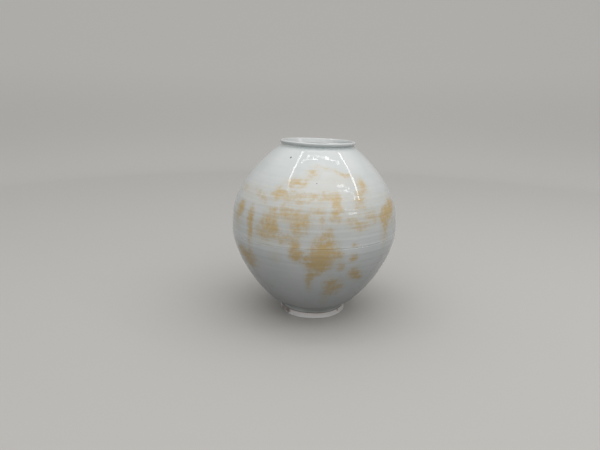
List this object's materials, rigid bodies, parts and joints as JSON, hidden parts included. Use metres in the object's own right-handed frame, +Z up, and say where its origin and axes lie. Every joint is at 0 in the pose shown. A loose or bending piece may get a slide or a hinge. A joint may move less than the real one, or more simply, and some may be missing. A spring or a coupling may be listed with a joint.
{
  "type": "korean moon jar",
  "caption": "Round white porcelain storage jar of two thrown bowls joined at the belly, on a low foot ring, with a short rolled lip.",
  "frame": {"origin": "middle of the face that the foot stands on", "axes": "+Z up along the foot's and lower bowl's axis, +X to the right seen from the front, the side that the upper bowl leans to, -Y towards the viewer"},
  "size_m": [0.4251, 0.425, 0.4521],
  "materials": {
    "glazed_porcelain": "milky white gloss glaze with peach stains",
    "bare_porcelain": "bare fired porcelain, matt, glazed above its groove",
    "slip": "fired joining slip"
  },
  "bodies": {
    "root": {"foot_ring": "bare_porcelain", "foot_slip": "slip", "lower_bowl": "glazed_porcelain", "belly_slip": "slip", "upper_bowl": "glazed_porcelain", "collar_slip": "slip", "mouth_collar": "glazed_porcelain"}
  },
  "joints": []
}
